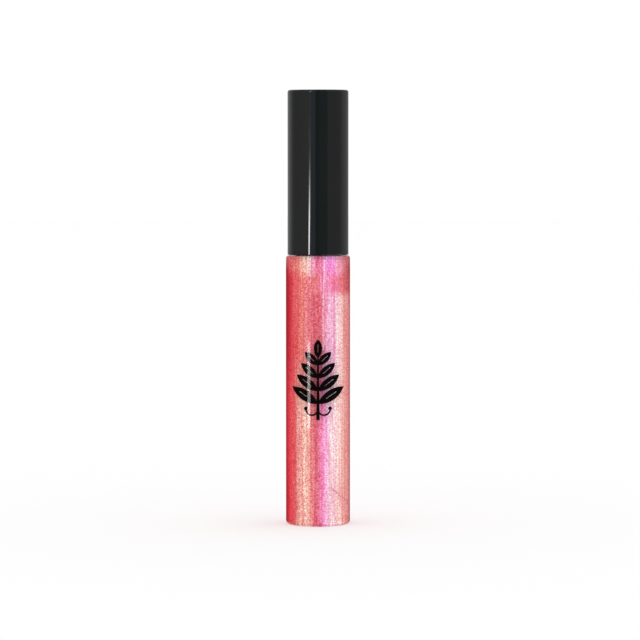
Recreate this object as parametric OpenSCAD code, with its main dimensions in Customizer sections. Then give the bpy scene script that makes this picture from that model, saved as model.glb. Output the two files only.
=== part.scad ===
// Lip gloss tube: a clear screw-neck bottle of gloss, its wiper, and a cap that carries the applicator.
// Millimetres, +Z up. The origin is the middle of the bottle's base, where the tube stands.

/* [Bottle] */
// Outside diameter of the bottle
bottle_d = 16; // [15.6:0.1:18]
// Height of the bottle from its base to its shoulder
body_h = 67.2; // [55:0.1:80]
// Thickness of the side wall
wall_t = 1.5; // [1.2:0.1:1.8]
// Thickness of the floor
floor_t = 0.5; // [0.4:0.1:2.5]
// Thickness of the shoulder
shoulder_t = 0.5; // [0.4:0.1:1.5]
// Rounding of the bottle's bottom edge
base_round = 0.9; // [0.4:0.1:1.2]
// Rounding of the bottle's shoulder
shoulder_round = 0.7; // [0.3:0.1:0.9]

/* [Neck] */
// Height of the neck above the shoulder
neck_h = 13.8; // [13:0.1:15]
// Outside diameter of the neck, under its thread
neck_d = 10.2; // [10:0.1:10.4]
// Bore of the neck, which holds the wiper
neck_bore_d = 8.2; // [8:0.1:8.4]
// Rise of the thread in one turn
thread_pitch = 2.5; // [2:0.1:2.8]
// Turns of thread on the neck
thread_turns = 1.5; // [1:0.25:1.75]

/* [Cap] */
// Outside diameter of the cap
cap_d = 15.2; // [15.1:0.1:15.5]
// Height of the cap
cap_h = 41; // [40:0.1:50]
// Thickness of the outer shell's side
shell_t = 0.9; // [0.8:0.05:1]
// Rounding of the cap's top edge
cap_round = 0.6; // [0.3:0.1:1]
// Gap between the cap and the shoulder when the tube is shut
cap_gap = 0.2; // [0.1:0.05:0.4]

/* [Applicator] */
// Diameter of the stem
stem_d = 3.8; // [3.4:0.1:3.8]
// Diameter over the flock
tip_d = 4; // [3.8:0.1:4]
// Length of the flocked tip
tip_l = 13; // [11:0.5:15]
// Height of the tip's end above the bottle's base
tip_z = 4.2; // [3.6:0.1:8]
// Slant of the tip's face, measured from the stem
slant = 15; // [12:1:20]
// Which way the slanted face looks, seen from above
slant_side = -35; // [-180:5:180]

/* [Printed mark] */
// Height of the printed sprig
mark_h = 20; // [14:0.5:22]
// Height of the sprig's middle above the base
mark_z = 36.7; // [30:0.1:45]
// Thickness of the ink
ink_t = 0.05; // [0.03:0.01:0.08]

/* [Hidden] */
$fn = 96;

eps = 0.01;                              // how far a cutter runs past a face
// Bottle and gloss
body_r = bottle_d / 2;
cavity_r = body_r - wall_t;
cavity_round = 0.5;                      // rounding inside the bottom corner and under the shoulder
neck_r = neck_d / 2;
neck_bore_r = neck_bore_d / 2;
neck_top = body_h + neck_h;
ceiling = body_h - shoulder_t;           // underside of the shoulder
funnel_t = 0.7;                          // size of the chamfer that leads into the neck
foot_r = body_r - 2.8;                   // the base stands on a ring outside this radius
foot_rise = 0.1;
fill_top = body_h + 1.9;                 // surface of the gloss, in the neck
well_r = tip_d / 2 + 0.08;               // space that the applicator holds open in the gloss
// Thread
thread_crest_r = neck_r + 0.6;
thread_low = body_h + 4.0;               // middle of the thread where it starts
thread_bury = 0.15;                      // how deep a thread's root sits inside its wall
thread_step = 7.5;                       // degrees between two rings of a thread
thread_fade = 40;                        // degrees over which each end of a thread rises
// Wiper
flange_r = neck_r - 0.1;
flange_t = 0.8;
wiper_top = neck_top + flange_t;
wiper_bore_r = 3.5;
wiper_relief = 0.06;                     // the barrel is this much smaller than the neck between its two bands
wiper_l = 10.4;                          // from the flange down to the lip
cone_h = 3.4;                            // the barrel narrows to the lip over this height
lip_t = 0.45;
orifice_r = 2.1;
// Seal washer
washer_t = 0.6;
washer_in_r = 3.65;
washer_out_r = 5.5;
seat_z = wiper_top + washer_t;           // underside of the inner cap's roof
// Cap
cap_r = cap_d / 2;
cap_low = body_h + cap_gap;
cap_top = cap_low + cap_h;
shell_in_r = cap_r - shell_t;
crown_t = 1.2;                           // thickness of the outer shell's top
// Inner cap
liner_low = cap_low + 0.8;
liner_r = shell_in_r - 0.15;             // the liner's wall, between its splines
liner_root_r = thread_crest_r + 0.45;
liner_crest_r = thread_crest_r + 0.1;
roof_t = 1.5;
boss_r = 4.1;
boss_top = seat_z + roof_t + 6.6;
spline_count = 12;
spline_w = 0.8;
// Weight
weight_r = shell_in_r - 0.4;
weight_h = 8;
weight_top = cap_top - crown_t - 0.2;
crush_rib_w = 0.7;
// Stem
stem_r = stem_d / 2;
head_r = 2.6;                            // the head, pressed into the boss
head_top = boss_top - 0.5;
plug_r = wiper_bore_r - 0.08;
plug_low = seat_z - 2.6;
socket_r = 0.95;
socket_l = 6;
// Tip
tip_r = tip_d / 2;
flock_t = 0.5;
core_r = tip_r - flock_t;
tip_top = tip_z + tip_l;
collar_l = 0.8;                          // bare collar between the stem and the flock
stem_low = tip_top + collar_l;

// ---------------------------------------------------------------- shared shapes

// What a rounding of radius f takes off a corner. The arc's centre is the origin, and side is 1 for a top corner
// and -1 for a bottom one.
module corner_waste(f, side) {
    difference() {
        translate([0, side > 0 ? 0 : -f - eps]) square([f + eps, f + eps]);
        circle(f);
    }
}

// Half section of a round bar from z0 to z1, with its bottom and top edges rounded.
module bar_section(r, z0, z1, low_round = 0, top_round = 0) {
    difference() {
        translate([0, z0]) square([r, z1 - z0]);
        if (low_round > 0) translate([r - low_round, z0 + low_round]) corner_waste(low_round, -1);
        if (top_round > 0) translate([r - top_round, z1 - top_round]) corner_waste(top_round, 1);
    }
}

// Half section of a ring between two radii.
module ring_section(r_in, r_out, z0, z1) {
    translate([r_in, z0]) square([r_out - r_in, z1 - z0]);
}

function smooth(t) = t <= 0 ? 0 : t >= 1 ? 1 : t * t * (3 - 2 * t);

// One ring of a thread: four corners, at an angle a along the helix. The crest sinks into the wall at both ends.
function thread_ring(a, whole, root_r, crest_r, root_w, crest_w) =
    let (side = crest_r > root_r ? 1 : -1,
         grown = smooth(min(a, whole - a) / thread_fade),
         top_r = root_r + (crest_r - root_r) * (0.1 + 0.9 * grown),
         z = thread_pitch * a / 360)
    [for (p = [[root_r, -side * root_w], [top_r, -side * crest_w],
               [top_r, side * crest_w], [root_r, side * root_w]])
        [p[0] * cos(a), p[0] * sin(a), z + p[1] / 2]];

// A right-hand helical ridge that starts at z0. Its crest lies outside its root on a neck and inside it in a cap.
module thread(root_r, crest_r, z0, root_w = 1.25, crest_w = 0.6) {
    whole = 360 * thread_turns;
    rings = floor(whole / thread_step);
    last = 4 * rings;
    points = [for (i = [0:rings])
        each thread_ring(i * whole / rings, whole, root_r, crest_r, root_w, crest_w)];
    sides = [for (i = [0:rings - 1], j = [0:3])
        [4 * i + j, 4 * i + (j + 1) % 4, 4 * (i + 1) + (j + 1) % 4, 4 * (i + 1) + j]];
    translate([0, 0, z0]) polyhedron(points, concat(sides, [[3, 2, 1, 0], [last, last + 1, last + 2, last + 3]]));
}

// ---------------------------------------------------------------- bottle side

// Half section of the bottle's inside, up to a height in the neck.
module cavity_section(top) {
    bar_section(cavity_r, floor_t, ceiling, cavity_round, cavity_round);
    polygon([[0, ceiling - 0.5], [neck_bore_r + funnel_t, ceiling - 0.5], [neck_bore_r + funnel_t, ceiling],
             [neck_bore_r, ceiling + funnel_t], [neck_bore_r, top], [0, top]]);
}

// Clear bottle with its threaded neck, a stop bead under the thread and a raised middle under the base.
module bottle() {
    color([0.93, 0.80, 0.82, 0.35]) {
        rotate_extrude() difference() {
            union() {
                bar_section(body_r, 0, body_h, base_round, shoulder_round);
                bar_section(neck_r, body_h - 1, neck_top, 0, 0.25);
                bar_section(neck_r + 0.45, body_h + 1.0, body_h + 1.9, 0.2, 0.2);
            }
            cavity_section(neck_top + eps);
            polygon([[0, -eps], [foot_r + eps, -eps], [foot_r - foot_rise, foot_rise], [0, foot_rise]]);
        }
        thread(neck_r - thread_bury, thread_crest_r, thread_low);
    }
}

// A leaf of the sprig: a pointed oval from the origin along +X, with a bare midrib.
module leaf(l, w) {
    arc_r = (l * l + w * w) / (4 * w);
    difference() {
        intersection() {
            translate([l / 2, arc_r - w / 2]) circle(arc_r);
            translate([l / 2, w / 2 - arc_r]) circle(arc_r);
        }
        translate([0.3 * l, -0.07]) square([0.42 * l, 0.14]);
    }
}

// A tendril of the sprig: half a ring that leaves the stalk at the origin and curls up to a bead.
module tendril(r) {
    half_w = 0.22;
    translate([r, 0]) difference() {
        circle(r + half_w);
        circle(r - half_w);
        translate([-2 * r, 0]) square([4 * r, 2 * r]);
    }
    translate([2 * r, 0.15]) circle(0.48);
}

// A generic sprig, centred on the origin: pairs of leaves that grow smaller towards the top, over two tendrils.
module sprig() {
    pairs = 4;
    scale(mark_h / 20) {
        polygon([[-0.42, -10], [0.42, -10], [0.2, 6.2], [-0.2, 6.2]]);
        translate([0, 5.4]) rotate(90) leaf(4.6, 2.1);
        for (side = [0, 1]) mirror([side, 0]) {
            translate([0, -7.3]) tendril(1.5);
            for (i = [0:pairs - 1]) {
                share = i / (pairs - 1);
                translate([0, -6 + 3.2 * i]) rotate(33 + 12 * share) leaf(7.6 - 3 * share, 2.6 - 0.6 * share);
            }
        }
    }
}

// The mark, printed on the front of the bottle as a thin film of ink.
module printed_mark() {
    color("black") intersection() {
        difference() {
            translate([0, 0, mark_z - mark_h]) cylinder(r = body_r + ink_t, h = 2 * mark_h);
            translate([0, 0, mark_z - mark_h - 1]) cylinder(r = body_r, h = 2 * mark_h + 2);
        }
        translate([0, 0, mark_z]) rotate([90, 0, 0]) linear_extrude(body_r + 1) sprig();
    }
}

// The gloss, with the space that the applicator stands in.
module gloss_fill() {
    color([0.87, 0.42, 0.50]) rotate_extrude() difference() {
        cavity_section(fill_top);
        bar_section(well_r, tip_z - 0.3, fill_top + 1, well_r - 0.3);
    }
}

// Soft plug pressed into the neck. Its lip wipes the stem as the applicator is drawn out.
module wiper() {
    lip_z = neck_top - wiper_l;
    cone_z = lip_z + cone_h;
    barrel_r = neck_bore_r - wiper_relief;
    color([0.96, 0.96, 0.94]) rotate_extrude() difference() {
        union() {
            bar_section(flange_r, neck_top, wiper_top, 0, 0.2);
            polygon([[0, lip_z], [orifice_r + lip_t, lip_z], [barrel_r, cone_z - 0.9], [barrel_r, neck_top + 0.2],
                     [0, neck_top + 0.2]]);
            for (z = [neck_top - 2.2, neck_top - 6]) bar_section(neck_bore_r, z, z + 1.1);
        }
        polygon([[0, lip_z - eps], [orifice_r, lip_z - eps], [orifice_r, lip_z + lip_t], [wiper_bore_r, cone_z],
                 [wiper_bore_r, wiper_top - 0.5], [wiper_bore_r + 0.4, wiper_top + eps], [0, wiper_top + eps]]);
    }
}

// ---------------------------------------------------------------- cap side

// Loose foam ring that seals the cap against the wiper's flange.
module seal_washer() {
    color([0.85, 0.85, 0.85]) rotate_extrude() ring_section(washer_in_r, washer_out_r, wiper_top, seat_z);
}

// Turned steel slug that gives the cap its weight.
module cap_weight() {
    chamfer = 0.5;
    low = weight_top - weight_h;
    color("silver") rotate_extrude() polygon([
        [0, low + 0.6], [1.2, low], [weight_r - chamfer, low], [weight_r, low + chamfer],
        [weight_r, weight_top - chamfer], [weight_r - chamfer, weight_top], [0, weight_top]]);
}

// Glossy outer shell of the cap, with crush ribs inside that grip the weight.
module overcap() {
    rib_low = boss_top - 5;
    rib_high = cap_top - crown_t;
    color([0.03, 0.03, 0.035]) {
        rotate_extrude() difference() {
            bar_section(cap_r, cap_low, cap_top, 0.2, cap_round);
            bar_section(shell_in_r, cap_low - eps, rib_high, 0, 0.4);
        }
        for (i = [0:5]) rotate(60 * i)
            translate([weight_r + 0.05, -crush_rib_w / 2, rib_low])
                cube([shell_in_r - weight_r + 0.1, crush_rib_w, rib_high - rib_low + 0.1]);
    }
}

// Threaded liner, splined into the outer shell, with a boss on its roof that holds the stem's head.
module inner_cap() {
    color([0.08, 0.08, 0.085]) {
        difference() {
            union() {
                rotate_extrude() union() {
                    bar_section(liner_r, liner_low, seat_z + roof_t, 0, 0.3);
                    bar_section(boss_r, seat_z, boss_top, 0, 0.3);
                }
                for (i = [0:spline_count - 1]) rotate(360 / spline_count * (i + 0.5))
                    translate([liner_r - 0.3, -spline_w / 2, liner_low + 1.2])
                        cube([shell_in_r - liner_r + 0.29, spline_w, seat_z - liner_low - 1.6]);
                for (i = [0:3]) rotate(90 * i + 45)
                    translate([boss_r - 0.3, -0.5, seat_z + roof_t - 0.2]) cube([1.7, 1, 2.6]);
            }
            translate([0, 0, liner_low - eps]) cylinder(r = liner_root_r, h = seat_z - liner_low + eps);
            translate([0, 0, seat_z - 1]) cylinder(r = head_r, h = boss_top - seat_z + 2);
        }
        thread(liner_root_r + thread_bury, liner_crest_r, thread_low + thread_pitch / 2);
    }
}

// Stem of the applicator: a grooved head for the boss, a plug that closes the wiper, and the rod with its socket.
module stem() {
    color([0.05, 0.05, 0.055]) rotate_extrude() difference() {
        polygon([[0, stem_low], [stem_r, stem_low], [stem_r, plug_low - 2], [plug_r - 0.25, plug_low],
                 [plug_r, seat_z - 1.4], [plug_r, seat_z], [head_r, seat_z], [head_r, head_top], [0, head_top]]);
        translate([stem_r - 0.2, stem_low + 0.2]) corner_waste(0.2, -1);
        translate([head_r - 0.5, head_top - 0.5]) corner_waste(0.5, 1);
        bar_section(socket_r, stem_low - eps, stem_low + socket_l);
        for (i = [0:2]) translate([head_r - 0.15, seat_z + roof_t + 1.2 + 1.6 * i]) square([0.5, 0.6]);
    }
}

// Paddle shape of the applicator's tip: a round-nosed bar, cut at a slant so that one side is a broad, softly
// crowned face.
module paddle(r, low, top, inset) {
    crown_r = 2.2 * tip_r;
    face_x = 0.05 * tip_r - inset / cos(slant);
    rotate(slant_side) intersection() {
        rotate_extrude() bar_section(r, low, top, r - 0.3);
        translate([face_x, 0, tip_z]) rotate([0, slant, 0])
            translate([-crown_r, 0, -2 * tip_l]) cylinder(r = crown_r, h = 5 * tip_l);
    }
}

// Bendy core of the tip: a peg for the stem's socket, a collar, and the paddle under the flock.
module tip_core() {
    color([0.90, 0.78, 0.78]) {
        rotate_extrude() union() {
            bar_section(socket_r, tip_top, stem_low + socket_l - 0.3, 0, 0.3);
            bar_section(stem_r, tip_top, stem_low, 0, 0.1);
        }
        paddle(core_r, tip_z + flock_t, tip_top + 0.1, flock_t);
    }
}

// Coat of short fibres glued to the core.
module flocking() {
    color([0.93, 0.72, 0.75]) difference() {
        paddle(tip_r, tip_z, tip_top, 0);
        paddle(core_r, tip_z + flock_t, tip_top + 0.1, flock_t);
    }
}

bottle();
printed_mark();
gloss_fill();
wiper();
seal_washer();
cap_weight();
overcap();
inner_cap();
stem();
tip_core();
flocking();
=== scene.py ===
from math import cos, degrees, floor, pi, radians, sin, sqrt, tan

import bmesh
import bpy
import numpy as np
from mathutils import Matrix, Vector, noise


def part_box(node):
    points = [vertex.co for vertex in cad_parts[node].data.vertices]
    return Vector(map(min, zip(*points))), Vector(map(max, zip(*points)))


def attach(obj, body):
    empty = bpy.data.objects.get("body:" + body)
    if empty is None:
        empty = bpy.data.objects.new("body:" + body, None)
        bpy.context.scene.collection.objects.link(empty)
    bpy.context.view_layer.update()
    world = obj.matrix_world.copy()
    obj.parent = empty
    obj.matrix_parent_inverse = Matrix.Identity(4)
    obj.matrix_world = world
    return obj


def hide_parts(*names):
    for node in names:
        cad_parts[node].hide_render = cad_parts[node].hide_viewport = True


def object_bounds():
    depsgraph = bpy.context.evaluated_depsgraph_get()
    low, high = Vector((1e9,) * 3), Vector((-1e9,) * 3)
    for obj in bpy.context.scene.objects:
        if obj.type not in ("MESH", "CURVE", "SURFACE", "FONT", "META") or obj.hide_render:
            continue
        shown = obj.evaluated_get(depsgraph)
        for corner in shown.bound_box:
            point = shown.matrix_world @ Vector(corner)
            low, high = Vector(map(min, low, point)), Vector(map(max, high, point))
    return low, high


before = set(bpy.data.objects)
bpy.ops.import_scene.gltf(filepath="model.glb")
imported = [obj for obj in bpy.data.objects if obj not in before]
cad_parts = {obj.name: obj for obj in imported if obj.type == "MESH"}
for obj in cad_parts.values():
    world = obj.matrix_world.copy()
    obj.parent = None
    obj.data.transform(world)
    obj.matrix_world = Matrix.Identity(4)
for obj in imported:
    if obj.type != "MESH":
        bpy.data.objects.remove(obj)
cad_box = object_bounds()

# Lip gloss tube: a clear bottle of shimmering gloss, its wiper, and a black cap that carries the applicator.
# Shapes are worked out in millimetres, in the CAD's frame, and become metres when a mesh is made.

MM = 0.001
SEGMENTS = 256                # facets round a turned piece


def span(node):
    """Lowest and highest corner of a CAD node, in millimetres."""
    low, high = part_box(node)
    return low / MM, high / MM


bottle_high = span("bottle")[1]
fill_low, fill_high = span("gloss_fill")
wiper_low, wiper_high = span("wiper")
washer_low, washer_high = span("seal_washer")
weight_low, weight_high = span("cap_weight")
cap_low, cap_high = span("overcap")
liner_high = span("inner_cap")[1]
stem_low, stem_high = span("stem")
flock_low, flock_high = span("flocking")

# Bottle
body_r = bottle_high.x
cavity_r = fill_high.x
floor_t = fill_low.z
cap_gap = 0.2                 # between the shoulder and the cap
body_h = cap_low.z - cap_gap
neck_r = 5.1
neck_bore_r = 4.1
neck_top = bottle_high.z
base_round = 0.9
shoulder_round = 0.7
cavity_round = 0.5
shoulder_t = 0.5
ceiling = body_h - shoulder_t # underside of the shoulder
funnel_t = 0.7                # size of the chamfer that leads into the neck
foot_r = body_r - 2.8         # the base stands on a ring outside this radius
foot_rise = 0.1
bead_low = body_h + 1.0       # the bead on the neck that stops the cap
bead_high = body_h + 1.9
bead_r = neck_r + 0.45
fit = 0.03                    # how far the gloss and the wiper sink into the wall that they touch
well_r = 2.08                 # space that the applicator holds open in the gloss
well_low = flock_low.z - 0.3
# Thread
thread_pitch = 2.5
thread_turns = 1.5
thread_low = body_h + 4
thread_rise = 0.6
thread_crest = 0.3            # half the width of the ridge's flat top
thread_root = 0.6             # half the width of its foot
thread_fade = 40              # degrees over which each end rises
# Cap
cap_r = cap_high.x
shell_t = 0.9
crown_t = 1.2
cap_round = 0.6
rib_low = liner_high.z - 5
rib_r = weight_high.x + 0.05
# Wiper
flange_r = neck_r - 0.1
wiper_bore_r = 3.5
wiper_relief = 0.04           # the barrel is this much smaller than the neck between its two bands
band_t = 1.1
cone_z = wiper_low.z + 3.4    # where the bore starts to narrow towards the lip
lip_t = 0.45
orifice_r = 2.1
# Washer
washer_in_r = 3.65
# Stem
stem_r = 1.9
head_r = 2.6
seat_z = washer_high.z        # the head rests here, above the plug
plug_r = wiper_bore_r - 0.08
plug_low = seat_z - 2.6
socket_r = 0.95
socket_l = 6.0
groove_low = seat_z + 2.7     # the lowest of the head's grooves
groove_pitch = 1.6
groove_t = 0.6
groove_depth = 0.15
# Applicator tip
tip_r = 2.0
tip_slant = radians(15)
tip_side = radians(-35)       # which way the slanted face looks, seen from above
tip_crown = 2.2 * tip_r       # radius of the crowned face


# ---------------------------------------------------------------- mesh work

def rounded(corners, closed, steps=10):
    """Points of an outline through corners given as (radius, height, rounding)."""
    points = []
    count = len(corners)
    for i, (r, z, rounding) in enumerate(corners):
        corner = Vector((r, z))
        if not rounding or (not closed and i in (0, count - 1)):
            points.append(corner)
            continue
        before = (Vector(corners[i - 1][:2]) - corner).normalized()
        after = (Vector(corners[(i + 1) % count][:2]) - corner).normalized()
        half = before.angle(after) / 2
        centre = corner + (before + after).normalized() * rounding / sin(half)
        start = corner + before * rounding / tan(half) - centre
        end = corner + after * rounding / tan(half) - centre
        turn = start.angle_signed(end)
        for step in range(steps + 1):
            angle = -turn * step / steps
            points.append(centre + Vector((start.x * cos(angle) - start.y * sin(angle),
                                           start.x * sin(angle) + start.y * cos(angle))))
    return points


def supported(points, closed, step, fine=None, margin=0.06):
    """The same outline with points on its straight stretches: one near each end, the rest a step apart.
    With fine = (low, high, step), a stretch between those two heights has that step instead."""
    result = []
    following = points[1:] + (points[:1] if closed else [])
    for start, end in zip(points, following):
        result.append(start)
        length = (end - start).length
        if length > 4 * margin:
            share = margin / length
            low, high = sorted((start.y, end.y))
            close = fine and fine[0] - margin < low and high < fine[1] + margin
            pieces = max(1, round(length / (fine[2] if close else step)))
            for k in range(pieces + 1):
                result.append(start.lerp(end, share + (1 - 2 * share) * k / pieces))
    return result if closed else result + [points[-1]]


def piece(name, points, faces, body, slot, stands_for, material, crease=35):
    """A mesh object from points in millimetres, smooth except where it turns by more than crease degrees."""
    mesh = bpy.data.meshes.new(name)
    mesh.from_pydata([(x * MM, y * MM, z * MM) for x, y, z in points], [], faces)
    build = bmesh.new()
    build.from_mesh(mesh)
    bmesh.ops.recalc_face_normals(build, faces=build.faces)
    build.to_mesh(mesh)
    build.free()
    mesh.shade_smooth()
    mesh.set_sharp_from_angle(angle=radians(crease))
    mesh.materials.append(material)
    made = bpy.data.objects.new(name, mesh)
    bpy.context.scene.collection.objects.link(made)
    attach(made, body)
    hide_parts(stands_for)
    return made


def turned(corners, closed=False, step=1.0, shape=None, fine=None):
    """Points and faces of an outline revolved about Z. shape(r, z, angle) may give a point another radius."""
    outline = supported(rounded(corners, closed), closed, step, fine)
    points, rings = [], []
    for r, z in outline:
        count = 1 if r < 1e-6 else SEGMENTS
        rings.append([len(points) + k % count for k in range(SEGMENTS)])
        for k in range(count):
            angle = 2 * pi * k / SEGMENTS
            radius = shape(r, z, angle) if shape else r
            points.append((radius * cos(angle), radius * sin(angle), z))
    faces = []
    for low, high in zip(rings, rings[1:] + (rings[:1] if closed else [])):
        for k in range(SEGMENTS):
            after = (k + 1) % SEGMENTS
            # At the axis two corners are one point, and the face is a triangle.
            faces.append(tuple(dict.fromkeys((low[k], low[after], high[after], high[k]))))
    return points, faces


def smooth(t):
    """Eases from 0 to 1."""
    t = min(max(t, 0.0), 1.0)
    return t * t * (3 - 2 * t)


# ---------------------------------------------------------------- shader work

class Shader:
    """A node tree that is filled one node at a time."""

    def __init__(self, owner):
        owner.use_nodes = True
        self.owner = owner
        self.tree = owner.node_tree
        self.tree.nodes.clear()

    def add(self, kind, inputs=None, **settings):
        """Adds a node, and sets its settings and inputs. An input may be a number, a colour or a socket."""
        made = self.tree.nodes.new("ShaderNode" + kind)
        for name, value in settings.items():
            setattr(made, name, value)
        for name, value in (inputs or {}).items():
            if isinstance(value, bpy.types.NodeSocket):
                self.tree.links.new(value, made.inputs[name])
            else:
                made.inputs[name].default_value = value
        return made

    def math(self, operation, a, b=0.0, c=0.0):
        return self.add("Math", {0: a, 1: b, 2: c}, operation=operation).outputs[0]

    def vector(self, operation, a, b):
        return self.add("VectorMath", {0: a, 1: b}, operation=operation).outputs[0]

    def place(self):
        """Object coordinates in millimetres."""
        return self.vector("MULTIPLY", self.add("TexCoord").outputs["Object"], (1 / MM,) * 3)

    def split(self, vector):
        return self.add("SeparateXYZ", {0: vector}).outputs

    def stretched(self, place, x, y, z):
        return self.vector("MULTIPLY", place, (x, y, z))

    def noise(self, place, scale, detail=2.0, roughness=0.5, distortion=0.0):
        """Soft noise from 0 to 1 with scale bumps to the millimetre."""
        inputs = {"Vector": place, "Scale": scale, "Detail": detail, "Roughness": roughness,
                  "Distortion": distortion}
        return self.add("TexNoise", inputs).outputs["Fac"]

    def range(self, value, low, high, new_low=0.0, new_high=1.0, soft=True):
        """Moves a value from one range to another, clamped."""
        inputs = {"Value": value, "From Min": low, "From Max": high, "To Min": new_low, "To Max": new_high}
        kind = "SMOOTHSTEP" if soft else "LINEAR"
        return self.add("MapRange", inputs, interpolation_type=kind, clamp=True).outputs["Result"]

    def between(self, value, low, low_full, high_full, high):
        """Rises from 0 at low to 1 at low_full, and falls from 1 at high_full to 0 at high."""
        return self.math("MULTIPLY", self.range(value, low, low_full), self.range(value, high, high_full))

    def turn(self, x, y):
        """Angle round Z in degrees: 0 at the front, and the right side counted up."""
        return self.math("MULTIPLY", self.math("ARCTAN2", x, self.math("MULTIPLY", y, -1.0)), 180 / pi)

    def mix(self, factor, a, b, blend="MIX"):
        """Mixes two colours."""
        made = self.add("Mix", data_type="RGBA", blend_type=blend, clamp_factor=True)
        for number, value in ((0, factor), (6, a), (7, b)):
            if isinstance(value, bpy.types.NodeSocket):
                self.tree.links.new(value, made.inputs[number])
            else:
                made.inputs[number].default_value = value
        return made.outputs[2]

    def bands(self, position, stops):
        """Colours along a line: stops are (position from 0 to 1, colour)."""
        made = self.add("ValToRGB", {0: position})
        ramp = made.color_ramp
        while len(ramp.elements) < len(stops):
            ramp.elements.new(0.5)
        for k, (at, colour) in enumerate(stops):
            ramp.elements[k].position = at
            ramp.elements[k].color = colour
        return made.outputs["Color"]

    def bump(self, height, distance, strength=1.0, normal=None):
        """A normal from a height from 0 to 1; distance is in millimetres."""
        inputs = {"Height": height, "Distance": distance * MM, "Strength": strength}
        if normal is not None:
            inputs["Normal"] = normal
        return self.add("Bump", inputs).outputs["Normal"]

    def principled(self, **inputs):
        """A Principled shader; a name's underscores stand for spaces."""
        named = {name.replace("_", " "): value for name, value in inputs.items()}
        return self.add("BsdfPrincipled", named).outputs[0]

    def finish(self, surface):
        self.add("OutputMaterial", {"Surface": surface})
        return self.owner


def material(name):
    return Shader(bpy.data.materials.new(name))


def display(red, green, blue):
    """The linear colour of a screen colour given from 0 to 255."""
    def linear(value):
        share = value / 255
        return share / 12.92 if share <= 0.04045 else ((share + 0.055) / 1.055) ** 2.4
    return (linear(red), linear(green), linear(blue), 1.0)


def grey(value):
    return (value, value, value, 1.0)


def turn_share(angle):
    """Where an angle in degrees lies on a ramp that covers a whole turn."""
    return angle / 360 + 0.5


# ---------------------------------------------------------------- materials

# Colours of the gloss, as screen colours. Some of them stand for painted light, as the rows below say.
GLOSS = {
    "wine": (150, 0, 4), "crimson": (196, 0, 22), "cherry": (224, 4, 32), "scarlet": (212, 42, 60),
    "poppy": (234, 66, 80), "red": (231, 86, 94), "coral": (232, 88, 88), "ember": (236, 116, 112),
    "apricot": (247, 164, 154), "gold": (255, 200, 190), "rose": (238, 122, 130),
    "raspberry": (227, 100, 115), "cerise": (244, 120, 158), "orchid": (249, 132, 180),
    "violet": (255, 164, 214), "lilac": (254, 140, 212), "pink": (249, 164, 192), "blush": (249, 174, 208),
    "shell": (255, 206, 220), "peach": (255, 202, 200), "salmon": (238, 145, 146), "clay": (222, 120, 125),
    "brick": (204, 86, 94), "garnet": (184, 56, 66),
}
# The gloss is streaked. Each row gives its colours round the bottle at one height, at the angles of ANGLES
# from the front, the right side counted up; the back repeats them loosely. The rows also hold painted light:
# wine, crimson and garnet at the outer angles are painted shade towards the sides; gold near -28 is the
# gloss's own gold pearl with a painted reflection of the strip lamp on it; violet at 15 in TOP and LOWER is a
# painted highlight along the edge of the pale band; blush, shell and peach on the right of MIDDLE and LOWER
# are the gloss's own pale pearl with a painted softbox reflection on it.
ANGLES = (-100, -84, -68, -52, -46, -36, -31, -28, -22, -12, -3, 8, 10, 15, 24, 33, 41, 51, 62, 74, 90, 104)
TOP = ("wine crimson red ember ember apricot apricot gold gold pink cerise cerise "
       "orchid violet lilac lilac pink pink clay brick garnet wine")
UPPER = ("wine crimson scarlet red coral ember ember rose rose rose rose cerise "
         "cerise pink orchid cerise cerise rose raspberry brick brick garnet")
MIDDLE = ("wine crimson scarlet red coral ember ember rose rose raspberry raspberry raspberry "
          "pink pink blush blush shell peach salmon salmon clay garnet")
LOWER = ("wine cherry poppy coral salmon apricot apricot gold apricot rose raspberry orchid "
         "orchid violet shell shell peach peach apricot salmon clay garnet")
BACK_LEFT = [(-180, "rose"), (-158, "orchid"), (-136, "apricot"), (-118, "raspberry")]
BACK_RIGHT = [(118, "red"), (136, "gold"), (150, "violet"), (166, "raspberry"), (180, "rose")]


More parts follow.
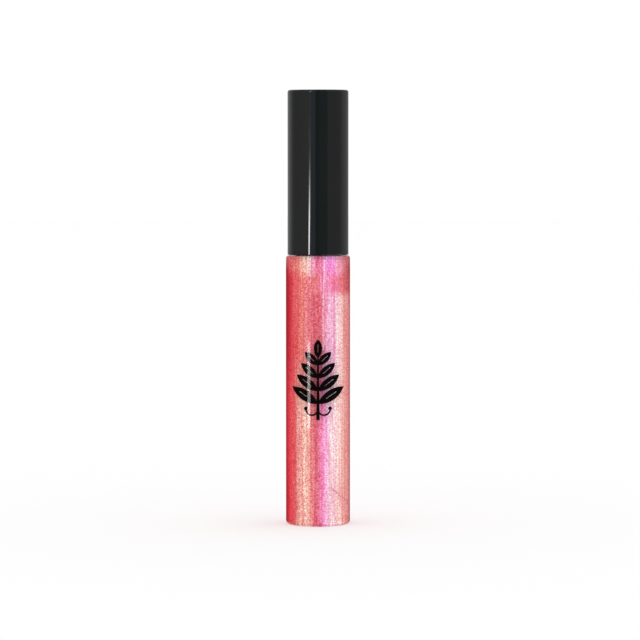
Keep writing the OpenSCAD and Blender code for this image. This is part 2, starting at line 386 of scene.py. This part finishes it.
def gloss_material():
    """Pearly gloss: wandering bands of gold, rose and violet, with fine flow lines and flakes. Its colour
    also holds painted light: shade at the sides, reflections, a highlight line and glints.
    """
    s = material("gloss_pearl")
    place = s.place()
    x, y, z = s.split(place)
    # The bands lean and wander with height.
    wander = s.noise(s.stretched(place, 0.12, 0.12, 0.05), 1.0, 2.0)
    ripple = s.noise(s.stretched(place, 0.6, 0.6, 0.16), 1.0, 3.0)
    straight = s.turn(x, y)
    angle = s.math("ADD", straight, s.math("MULTIPLY_ADD", wander, 6.0, -3.0))
    angle = s.math("ADD", angle, s.math("MULTIPLY_ADD", ripple, 3.0, -1.5))
    share = s.math("MULTIPLY_ADD", angle, 1 / 360, 0.5)
    rows = []
    for names in (LOWER, MIDDLE, UPPER, TOP):
        around = BACK_LEFT + list(zip(ANGLES, names.split())) + BACK_RIGHT
        rows.append(s.bands(share, [(turn_share(a), display(*GLOSS[name])) for a, name in around]))
    colour = s.mix(s.range(z, 33, 44), rows[0], rows[1])
    # The painted softbox reflection in MIDDLE ends here, near 57 mm, where UPPER takes over.
    colour = s.mix(s.range(z, 56.5, 59), colour, rows[2])
    colour = s.mix(s.range(z, 61.5, 64.5), colour, rows[3])
    # Flow lines: thin streaks drawn out along the bottle where the gloss was poured and stirred.
    streaks = s.noise(s.stretched(place, 2.6, 2.6, 0.07), 1.0, 4.0, 0.6, 0.3)
    flow = s.mix(s.range(streaks, 0.3, 0.7), (0.90, 0.66, 0.72, 1), (1.05, 1.36, 1.26, 1))
    colour = s.mix(1.0, colour, flow, "MULTIPLY")
    # A fold in the gloss, low on the right.
    sag = s.math("MULTIPLY_ADD", ripple, 2.6, s.math("MULTIPLY_ADD", straight, -0.08, 10.5))
    fold = s.range(s.math("ABSOLUTE", s.math("SUBTRACT", z, sag)), 0.5, 0.0)
    fold = s.math("MULTIPLY", fold, s.between(straight, 12, 30, 80, 100))
    colour = s.mix(s.math("MULTIPLY", fold, 0.4), colour, display(206, 72, 96))
    # A painted highlight: a bright line, the softbox edge's reflection, drawn into the gloss and leaning down
    # from the shoulder.
    highlight_top, highlight_lean = 14.0, 0.38   # its angle at the shoulder, and degrees lost for each millimetre down
    lean = s.math("SUBTRACT", straight, s.math("MULTIPLY_ADD", z, highlight_lean, highlight_top - highlight_lean * ceiling))
    lean = s.math("MULTIPLY_ADD", ripple, 1.6, s.math("SUBTRACT", lean, 0.8))
    highlight_line = s.range(s.math("ABSOLUTE", lean), 2.0, 0.5)
    highlight_line = s.math("MULTIPLY", highlight_line, s.range(z, ceiling - 22, ceiling - 2, 0.0, 0.65))
    colour = s.mix(highlight_line, colour, display(255, 206, 244))
    # Flakes: tiny cells, each lighter or darker than its neighbours, and a few with painted glints: painted
    # highlights in the colour, faded towards the left side, which is painted darker.
    pick = s.split(s.add("TexVoronoi", {"Vector": place, "Scale": 3.9}, feature="F1").outputs["Color"])
    fine = s.split(s.add("TexVoronoi", {"Vector": place, "Scale": 6.4}, feature="F1").outputs["Color"])
    spread = s.math("MULTIPLY_ADD", fine[0], 0.4, s.math("MULTIPLY", pick[0], 0.6))
    flake = s.mix(s.range(spread, 0.15, 0.85), (0.86, 0.43, 0.47, 1), (1.10, 1.72, 1.66, 1))
    colour = s.mix(s.range(straight, 5, 25, 1.0, 0.7), colour, flake, "MULTIPLY")
    painted_glint = s.math("MULTIPLY", s.range(pick[1], 0.9, 0.97), s.range(fine[1], 0.2, 0.8))
    painted_glint = s.math("MULTIPLY", painted_glint, s.range(straight, -85, -45, 0.15, 1.0))
    painted_glint_colour = s.mix(pick[2], display(255, 214, 150), display(255, 200, 244))
    colour = s.mix(s.math("MULTIPLY", painted_glint, 0.3), colour, painted_glint_colour)
    surface = s.principled(
        Base_Color=colour,
        Roughness=s.range(pick[2], 0.0, 1.0, 0.26, 0.42, False),
        IOR=1.46,
        Specular_IOR_Level=0.1,
        Normal=s.bump(pick[1], 0.01, 0.4),
    )
    return s.finish(surface)


def glass_material():
    """Clear moulded bottle wall. Lamps and the light scattered by the gloss pass it unbent."""
    s = material("clear_wall")
    place = s.place()
    waves = s.noise(s.stretched(place, 0.1, 0.1, 0.045), 1.0, 1.0)
    skin = s.noise(place, 0.7, 2.0)
    normal = s.bump(waves, 0.10, 0.2, s.bump(skin, 0.002, 0.15))
    path = s.add("LightPath").outputs
    glass = s.add("BsdfGlass", {"Color": (0.995, 0.985, 0.985, 1), "Roughness": 0.0, "IOR": 1.57,
                                "Normal": normal}).outputs[0]
    clear = s.add("BsdfTransparent").outputs[0]
    lit = s.add("MixShader", {0: path["Is Diffuse Ray"], 1: glass, 2: clear}).outputs[0]
    return s.finish(s.add("MixShader", {0: path["Is Shadow Ray"], 1: lit, 2: clear}).outputs[0])


def cap_material():
    """Glossy black moulding with faint handling marks."""
    s = material("cap_shell")
    place = s.place()
    wipes = s.noise(s.stretched(place, 0.5, 0.5, 4.0), 1.0, 4.0, 0.65, 0.6)
    haze = s.noise(place, 0.11, 3.0)
    peel = s.noise(place, 1.1, 2.0)
    rough = s.math("ADD", s.range(wipes, 0.55, 0.8, 0.035, 0.07), s.range(haze, 0.35, 0.75, 0.0, 0.025))
    surface = s.principled(
        Base_Color=s.mix(haze, display(13, 14, 14), display(18, 19, 20)),
        Roughness=rough,
        IOR=1.5,
        Normal=s.bump(peel, 0.0005, 0.1),
    )
    return s.finish(surface)


def ink_material():
    """Screen-printed black ink with the weave of the screen in its thin film."""
    s = material("ink")
    place = s.place()
    grain = s.noise(place, 9.0, 3.0)
    surface = s.principled(
        Base_Color=s.mix(grain, display(3, 3, 3), display(9, 8, 9)),
        Roughness=s.range(grain, 0.3, 0.7, 0.05, 0.1),
        IOR=1.5,
        Normal=s.bump(grain, 0.001, 0.2),
    )
    return s.finish(surface)


def wiper_material():
    """Natural soft plastic, with a smear of gloss on its lip and bore."""
    s = material("wiper")
    place = s.place()
    z = s.split(place)[2]
    cloud = s.noise(place, 0.9, 3.0)
    smear = s.noise(s.stretched(place, 1.2, 1.2, 0.5), 1.0, 4.0)
    stain = s.math("MULTIPLY", s.range(z, wiper_low.z + 7, wiper_low.z), s.range(smear, 0.3, 0.6, 0.3, 1.0))
    milk = s.mix(cloud, display(236, 236, 230), display(248, 248, 244))
    surface = s.principled(
        Base_Color=s.mix(stain, milk, display(232, 150, 160)),
        Roughness=s.range(smear, 0.3, 0.7, 0.24, 0.42),
        Subsurface_Weight=0.35,
        Subsurface_Radius=(1.0, 0.8, 0.7),
        Subsurface_Scale=0.0006,
        Normal=s.bump(cloud, 0.02, 0.3),
    )
    return s.finish(surface)


def foam_material():
    """Fine closed-cell foam, with painted shade in the grooves between its cells."""
    s = material("foam")
    place = s.place()
    cells = s.add("TexVoronoi", {"Vector": place, "Scale": 5.5}, feature="DISTANCE_TO_EDGE").outputs[0]
    # The cells' edges sink in the bump and are painted darker there: painted shade in the grooves.
    walls = s.range(cells, 0.0, 0.12)
    surface = s.principled(
        Base_Color=s.mix(walls, display(196, 194, 190), display(228, 227, 224)),
        Roughness=0.85,
        Normal=s.bump(walls, 0.05, 0.8),
    )
    return s.finish(surface)


def steel_material():
    """Turned steel: fine tool rings on the ends and the side."""
    s = material("turned_steel")
    place = s.place()
    x, y, z = s.split(place)
    radius = s.math("SQRT", s.math("ADD", s.math("MULTIPLY", x, x), s.math("MULTIPLY", y, y)))
    tool_step = 0.16
    rings = s.math("SINE", s.math("MULTIPLY", s.math("ADD", radius, z), 2 * pi / tool_step))
    dull = s.noise(place, 0.6, 4.0)
    surface = s.principled(
        Base_Color=s.mix(dull, display(168, 166, 162), display(206, 205, 202)),
        Metallic=1.0,
        Roughness=s.range(dull, 0.3, 0.7, 0.2, 0.42),
        Normal=s.bump(s.math("MULTIPLY_ADD", rings, 0.5, 0.5), 0.006, 0.6),
    )
    return s.finish(surface)


def liner_material():
    """Black moulded plastic with a dull, slightly pebbled skin."""
    s = material("liner_black")
    place = s.place()
    pebble = s.noise(place, 5.0, 3.0)
    scuff = s.noise(s.stretched(place, 2.0, 2.0, 0.3), 1.0, 3.0)
    surface = s.principled(
        Base_Color=s.mix(scuff, display(24, 24, 25), display(40, 40, 41)),
        Roughness=s.range(scuff, 0.3, 0.7, 0.3, 0.48),
        Normal=s.bump(pebble, 0.012, 0.4),
    )
    return s.finish(surface)


def stem_material():
    """Black moulded rod, with the film of gloss that the wiper leaves on its lower part."""
    s = material("stem_black")
    place = s.place()
    z = s.split(place)[2]
    runs = s.noise(s.stretched(place, 0.9, 0.9, 0.12), 1.0, 4.0, 0.6)
    beads = s.noise(place, 1.3, 2.0)
    film = s.math("MULTIPLY", s.range(z, ceiling + 4, stem_low.z), s.range(runs, 0.42, 0.62, 0.25, 1.0))
    film = s.math("MAXIMUM", film, s.range(z, stem_low.z + 4, stem_low.z, 0.0, 0.95))
    shimmer = s.mix(beads, display(196, 84, 104), display(238, 158, 158))
    surface = s.principled(
        Base_Color=s.mix(s.math("MULTIPLY", film, 0.8), display(20, 20, 21), shimmer),
        Roughness=s.range(film, 0.0, 1.0, 0.3, 0.12),
        Normal=s.bump(s.math("MULTIPLY", film, beads), 0.08, 0.5),
    )
    return s.finish(surface)


def core_material():
    """Bendy rubber collar, stained by the gloss."""
    s = material("tip_rubber")
    place = s.place()
    stain = s.noise(place, 1.6, 4.0)
    surface = s.principled(
        Base_Color=s.mix(s.range(stain, 0.35, 0.65), display(226, 176, 178), display(206, 104, 118)),
        Roughness=s.range(stain, 0.3, 0.7, 0.2, 0.45),
        Subsurface_Weight=0.2,
        Subsurface_Radius=(1.0, 0.5, 0.45),
        Subsurface_Scale=0.0004,
        Normal=s.bump(stain, 0.03, 0.4),
    )
    return s.finish(surface)


def flock_material():
    """Short fibres wet with gloss."""
    s = material("wet_flock")
    place = s.place()
    clumps = s.noise(place, 1.7, 3.0)
    fine = s.noise(place, 14.0, 1.0)
    soaked = s.mix(s.range(clumps, 0.3, 0.7), display(244, 176, 178), display(214, 92, 118))
    surface = s.principled(
        Base_Color=s.mix(s.math("MULTIPLY", fine, 0.5), soaked, display(255, 222, 206)),
        Roughness=s.range(clumps, 0.3, 0.7, 0.22, 0.5),
        Coat_Weight=0.5,
        Coat_Roughness=0.12,
        Sheen_Weight=0.2,
        Normal=s.bump(fine, 0.02, 0.4),
    )
    return s.finish(surface)


def floor_material():
    """Matte white paper sweep."""
    s = material("white_sweep")
    place = s.place()
    fibre = s.noise(place, 0.8, 4.0)
    surface = s.principled(
        Base_Color=s.mix(fibre, grey(0.93), grey(0.95)),
        Roughness=0.9,
        Specular_IOR_Level=0.1,
    )
    return s.finish(surface)


# ---------------------------------------------------------------- pieces

def ridge(z, angle):
    """How far the neck's thread stands out at a height and an angle."""
    whole = 2 * pi * thread_turns
    tallest = 0.0
    for turn in range(floor(thread_turns) + 1):
        along = angle % (2 * pi) + 2 * pi * turn
        if along <= whole:
            off = abs(z - thread_low - thread_pitch * along / (2 * pi))
            grown = smooth(degrees(min(along, whole - along)) / thread_fade)
            flank = (thread_root - off) / (thread_root - thread_crest)
            tallest = max(tallest, thread_rise * grown * smooth(flank))
    return tallest


def build_bottle():
    """The clear bottle, with fine rows where the neck carries its thread."""
    thread_start = thread_low - 1
    thread_end = thread_low + thread_pitch * thread_turns + 1
    corners = [
        (0, foot_rise, 0), (foot_r - foot_rise, foot_rise, 0.2), (foot_r, 0, 0.2), (body_r, 0, base_round),
        (body_r, body_h, shoulder_round), (neck_r, body_h, 0.2), (neck_r, bead_low, 0.05),
        (bead_r, bead_low, 0.2), (bead_r, bead_high, 0.2), (neck_r, bead_high, 0.05),
        (neck_r, thread_start, 0), (neck_r, thread_end, 0), (neck_r, neck_top, 0.25),
        (neck_bore_r, neck_top, 0.1), (neck_bore_r, ceiling + funnel_t, 0.1),
        (neck_bore_r + funnel_t, ceiling, 0.1), (cavity_r, ceiling, cavity_round),
        (cavity_r, floor_t, cavity_round), (0, floor_t, 0),
    ]

    def threaded(r, z, angle):
        on_neck = abs(r - neck_r) < 0.001 and z > bead_high + 0.1
        return r + ridge(z, angle) if on_neck else r

    wall = turned(corners, step=2.0, shape=threaded, fine=(thread_start, thread_end, 0.06))
    return piece("bottle_wall", *wall, "bottle", "clear_wall", "bottle", glass_material())


def build_fill():
    """The gloss, with the well that the applicator stands in."""
    wall = cavity_r + fit
    neck = neck_bore_r + fit
    corners = [
        (0, floor_t - fit, 0), (wall, floor_t - fit, cavity_round), (wall, ceiling + fit, cavity_round),
        (neck_bore_r + funnel_t, ceiling + fit, 0.1), (neck, ceiling + funnel_t, 0.1),
        (neck, fill_high.z, 0.15), (well_r, fill_high.z, 0.15), (well_r, well_low, well_r - 0.3),
        (0, well_low, 0),
    ]
    return piece("gloss_body", *turned(corners), "bottle", "gloss", "gloss_fill", gloss_material())


def build_overcap():
    """The outer shell, with six crush ribs inside that grip the weight."""
    ribs = 6
    rib_half = 3.1            # degrees from a rib's middle to its side
    inside = cap_r - shell_t
    crown = cap_high.z - crown_t
    corners = [
        (0, cap_high.z, 0), (cap_r, cap_high.z, cap_round), (cap_r, cap_low.z, 0.2), (inside, cap_low.z, 0.1),
        (inside, crown, 0.4), (0, crown, 0),
    ]

    def ribbed(r, z, angle):
        off = abs((degrees(angle) + 180 / ribs) % (360 / ribs) - 180 / ribs)
        on_wall = abs(r - inside) < 0.001 and z > rib_low
        return rib_r if on_wall and off < rib_half else r

    shell = turned(corners, shape=ribbed)
    return piece("overcap_shell", *shell, "cap", "cap_shell", "overcap", cap_material())


def build_wiper():
    """The plug in the neck: a flange, a barrel with two bands that grip, and a cone down to the lip."""
    barrel_r = neck_bore_r - wiper_relief
    band_r = neck_bore_r + fit
    bands = []
    for low in (neck_top - 6, neck_top - 2.2):
        bands += [(barrel_r, low, 0), (band_r, low, 0.02), (band_r, low + band_t, 0.02),
                  (barrel_r, low + band_t, 0)]
    corners = [
        (orifice_r, wiper_low.z, 0.1), (orifice_r + lip_t, wiper_low.z, 0.1), (barrel_r, cone_z - 0.9, 0.4),
        *bands, (barrel_r, neck_top, 0), (flange_r, neck_top, 0), (flange_r, wiper_high.z, 0.2),
        (wiper_bore_r + 0.4, wiper_high.z, 0.1), (wiper_bore_r, wiper_high.z - 0.5, 0.1),
        (wiper_bore_r, cone_z, 0.4), (orifice_r, wiper_low.z + lip_t, 0.1),
    ]
    return piece("wiper_plug", *turned(corners, closed=True), "bottle", "wiper", "wiper", wiper_material())


def build_washer():
    edge = 0.12
    corners = [(washer_in_r, washer_low.z, edge), (washer_high.x, washer_low.z, edge),
               (washer_high.x, washer_high.z, edge), (washer_in_r, washer_high.z, edge)]
    ring = turned(corners, closed=True, step=0.4)
    return piece("foam_ring", *ring, "seal", "foam", "seal_washer", foam_material())


def build_weight():
    """The slug: chamfered edges, and the dimple that the drill leaves in its lower end."""
    r, low, high = weight_high.x, weight_low.z, weight_high.z
    chamfer, edge = 0.5, 0.05
    corners = [(0, low + 0.6, 0), (1.2, low, edge), (r - chamfer, low, edge), (r, low + chamfer, edge),
               (r, high - chamfer, edge), (r - chamfer, high, edge), (0, high, 0)]
    slug = turned(corners)
    return piece("steel_slug", *slug, "weight", "weight", "cap_weight", steel_material(), crease=25)


def build_stem():
    """The rod with its socket for the tip, the plug that closes the wiper, and the grooved head."""
    corners = [(0, stem_low.z + socket_l, 0), (socket_r, stem_low.z + socket_l, 0), (socket_r, stem_low.z, 0),
               (stem_r, stem_low.z, 0.2), (stem_r, plug_low - 2, 0.5), (plug_r - 0.25, plug_low, 0.2),
               (plug_r, seat_z - 1.4, 0.1), (plug_r, seat_z, 0.05), (head_r, seat_z, 0)]
    for k in range(3):
        low, high = groove_low + groove_pitch * k, groove_low + groove_pitch * k + groove_t
        corners += [(head_r, low, 0), (head_r - groove_depth, low, 0), (head_r - groove_depth, high, 0),
                    (head_r, high, 0)]
    corners += [(head_r, stem_high.z, 0.5), (0, stem_high.z, 0)]
    return piece("stem_rod", *turned(corners), "cap", "stem", "stem", stem_material())


def paddle_radius(angle, z, inset):
    """Distance from the axis to the applicator's surface, set back by inset, at an angle and a height."""
    r = tip_r - inset
    low = flock_low.z + inset
    nose = r - 0.3
    lift = z - low
    bar = r if lift >= nose else 0.3 + sqrt(max(nose * nose - (nose - max(lift, 0.0)) ** 2, 0.0))
    # The crowned face is a big cylinder that leans with the slant. A ray from the axis meets it where
    # square * t^2 + 2 * slope * t + rest = 0.
    c, s = cos(angle - tip_side), sin(angle - tip_side)
    face_x = 0.05 * tip_r - inset / cos(tip_slant)
    k = tip_crown - face_x * cos(tip_slant) - (z - flock_low.z) * sin(tip_slant)
    square = (c * cos(tip_slant)) ** 2 + s * s
    slope = c * cos(tip_slant) * k
    rest = k * k - tip_crown * tip_crown
    face = (-slope + sqrt(max(slope * slope - square * rest, 0.0))) / square
    return min(bar, max(face, 0.02))


def paddle_point(angle, z, inset):
    """A point on the applicator's surface, set back by inset."""
    r = paddle_radius(angle, z, inset)
    return Vector((r * cos(angle), r * sin(angle), z))


def build_flock():
    """A felted pad with thousands of short tapered fibres that lean towards the tip."""
    pad_inset, root_inset = 0.3, 0.34
    around, rings = 72, 64
    core_inset = 0.47
    low, top = flock_low.z + pad_inset, flock_high.z
    points, faces, stacks = [], [], []
    outside = [(low + (top - low) * (k / rings) ** 1.4, pad_inset) for k in range(1, rings + 1)]
    inside = [(top, core_inset), (flock_low.z + core_inset + 1.0, core_inset)]
    for z, inset in outside + inside:
        stacks.append(range(len(points), len(points) + around))
        for k in range(around):
            angle = 2 * pi * k / around
            spot = paddle_point(angle, z, inset)
            felt = 0.05 * noise.noise(spot * 2.4) if inset == pad_inset else 0.0
            points.append(spot + Vector((cos(angle), sin(angle), 0)) * felt)
    for below, above in zip(stacks, stacks[1:]):
        for k in range(around):
            after = (k + 1) % around
            faces.append((below[k], below[after], above[after], above[k]))
    for ring, z in ((stacks[0], low), (stacks[-1], inside[-1][0])):
        points.append(Vector((0, 0, z)))
        faces += [(ring[k], ring[(k + 1) % around], len(points) - 1) for k in range(around)]

    random = np.random.default_rng(7)
    wanted, sides = 9000, 3
    while wanted:
        angle = random.uniform(0, 2 * pi)
        z = random.uniform(flock_low.z + root_inset, top - 0.05)
        if random.uniform(0, tip_r) > paddle_radius(angle, z, root_inset) + 0.5:
            continue
        wanted -= 1
        root = paddle_point(angle, z, root_inset)
        side = paddle_point(angle + 0.03, z, root_inset) - paddle_point(angle - 0.03, z, root_inset)
        rise = paddle_point(angle, z + 0.04, root_inset) - paddle_point(angle, z - 0.04, root_inset)
        normal = side.cross(rise).normalized()
        lean = noise.noise_vector(root * 1.1) * 0.55 + Vector(random.normal(0, 0.16, 3))
        lean += Vector((0, 0, -0.35))
        heading = (normal + lean - normal * lean.dot(normal)).normalized()
        reach = min(root_inset / max(heading.dot(normal), 0.4), 0.55) * random.uniform(0.72, 0.97)
        droop = Vector((0, 0, -0.10 * reach))
        across = heading.orthogonal().normalized()
        along = heading.cross(across)
        first = len(points)
        for share, width in ((0.0, 0.034), (0.55, 0.027)):
            centre = root + heading * reach * share
            for k in range(sides):
                turn = 2 * pi * k / sides
                points.append(centre + (across * cos(turn) + along * sin(turn)) * width)
        points.append(root + heading * reach + droop)
        for k in range(sides):
            after = (k + 1) % sides
            faces.append((first + k, first + after, first + sides + after, first + sides + k))
            faces.append((first + sides + k, first + sides + after, first + 2 * sides))
        faces.append(tuple(first + k for k in reversed(range(sides))))
    high = flock_high.z - 0.01
    points = [(p[0], p[1], min(max(p[2], flock_low.z), high)) for p in points]
    return piece("flock_tip", points, faces, "cap", "flock", "flocking", flock_material(), crease=60)


def dress_cad_nodes():
    """Materials for the CAD nodes that stay."""
    for node, paint in (("printed_mark", ink_material), ("inner_cap", liner_material),
                        ("tip_core", core_material)):
        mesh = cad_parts[node].data
        mesh.materials.clear()
        mesh.materials.append(paint())


# ---------------------------------------------------------------- studio

def build_floor():
    """A pale floor that the glossy surfaces don't mirror."""
    half = 3.0
    drop = 0.02 * MM          # keeps the floor clear of the base that stands on it
    mesh = bpy.data.meshes.new("floor")
    mesh.from_pydata([(-half, -half, -drop), (half, -half, -drop), (half, half, -drop), (-half, half, -drop)],
                     [], [(0, 1, 2, 3)])
    mesh.materials.append(floor_material())
    made = bpy.data.objects.new("floor", mesh)
    bpy.context.scene.collection.objects.link(made)
    made.visible_glossy = False


# Colours of the studio's walls as the glossy surfaces mirror them, by angle from the camera's side.
SURROUND = [
    (-180, grey(0.56)), (-125, grey(0.52)), (-106, grey(0.30)), (-60, grey(0.44)), (-28, grey(0.48)),
    (-24, (0.33, 0.41, 0.50, 1)), (-12, (0.33, 0.41, 0.50, 1)), (-8, (0.10, 0.15, 0.14, 1)),
    (3, (0.11, 0.16, 0.15, 1)), (7, (0.16, 0.21, 0.20, 1)), (34, (0.17, 0.22, 0.21, 1)), (38, grey(0.36)),
    (90, grey(0.32)), (108, grey(0.46)), (128, grey(0.38)), (180, grey(0.36)),
]


def build_world():
    """A white studio. Glossy surfaces mirror a grey surround, a dark skirting, three strips and a softbox."""
    world = bpy.data.worlds.new("studio")
    bpy.context.scene.world = world
    s = Shader(world)
    x, y, z = s.split(s.add("TexCoord").outputs["Generated"])
    turn = s.turn(x, y)
    height = s.math("MULTIPLY", s.math("ARCSINE", z), 180 / pi)
    share = s.math("MULTIPLY_ADD", turn, 1 / 360, 0.5)
    walls = s.bands(share, [(turn_share(a), c) for a, c in SURROUND])
    # The skirting: what the bottle mirrors when it is seen level. Its top is soft except far behind.
    full = s.range(s.math("ABSOLUTE", turn), 80, 120, -3.6, -2.5)
    skirting = s.between(height, -12.0, -8.0, full, -2.2)
    walls = s.mix(skirting, walls, grey(0.03))
    # Long strip light, left of the camera, that the cap mirrors. It leans, and fades towards its top.
    lean = s.math("MULTIPLY_ADD", height, -2.15, turn)
    strip = s.between(lean, -32.0, -31.4, -27.2, -26.6)
    lit = s.math("POWER", s.range(height, 0.0, -1.7), 2.0)
    lit = s.math("MULTIPLY", lit, s.range(height, -2.32, -2.25))
    # Short broad one under it, that the bottle and its print mirror.
    lamp = s.math("MULTIPLY", s.between(turn, -39.0, -37.0, -29.0, -27.0),
                  s.between(height, -5.5, -5.1, -3.9, -3.6))
    # Softbox on the right, below the skirting.
    box = s.math("MULTIPLY", s.between(turn, 16.0, 18.0, 110.0, 114.0),
                 s.between(height, -40.0, -30.0, -10.0, -8.0))
    # A faint strip overhead that glints on the cap's rim.
    rim = s.math("MULTIPLY", s.between(turn, -34.5, -33.0, -29.0, -27.5),
                 s.between(height, 2.0, 6.0, 50.0, 60.0))
    glow = s.math("MULTIPLY_ADD", s.math("MULTIPLY", strip, lit), 19.0, s.math("MULTIPLY", lamp, 8.0))
    glow = s.math("MULTIPLY_ADD", box, 3.0, glow)
    glow = s.math("MULTIPLY_ADD", rim, 3.6, glow)
    mirrored = s.mix(1.0, walls, glow, "ADD")
    seen = s.add("Background", {"Color": grey(1.0), "Strength": 1.08}).outputs[0]
    reflected = s.add("Background", {"Color": mirrored, "Strength": 1.0}).outputs[0]
    glossy = s.add("LightPath").outputs["Is Glossy Ray"]
    both = s.add("MixShader", {0: glossy, 1: seen, 2: reflected}).outputs[0]
    s.add("OutputWorld", {"Surface": both})


def build_camera():
    """A long lens at the height of the cap, looking slightly down at the tube."""
    distance = 0.80
    height = 0.098
    side = 0.0005             # the tube stands a little left of the middle of the picture
    drop = 0.00315            # and a little above it
    middle = (cad_box[0] + cad_box[1]) / 2
    data = bpy.data.cameras.new("camera")
    data.sensor_width = 36
    data.lens = 180.5
    camera = bpy.data.objects.new("camera", data)
    bpy.context.scene.collection.objects.link(camera)
    camera.location = (side, -distance, height)
    aim = Vector((side, 0, middle.z - drop))
    camera.rotation_euler = (aim - camera.location).to_track_quat("-Z", "Y").to_euler()
    bpy.context.scene.camera = camera


build_camera()
build_world()
build_floor()
build_bottle()
build_fill()
build_overcap()
build_wiper()
build_washer()
build_weight()
build_stem()
build_flock()
dress_cad_nodes()
bpy.context.scene.view_settings.view_transform = "Standard"
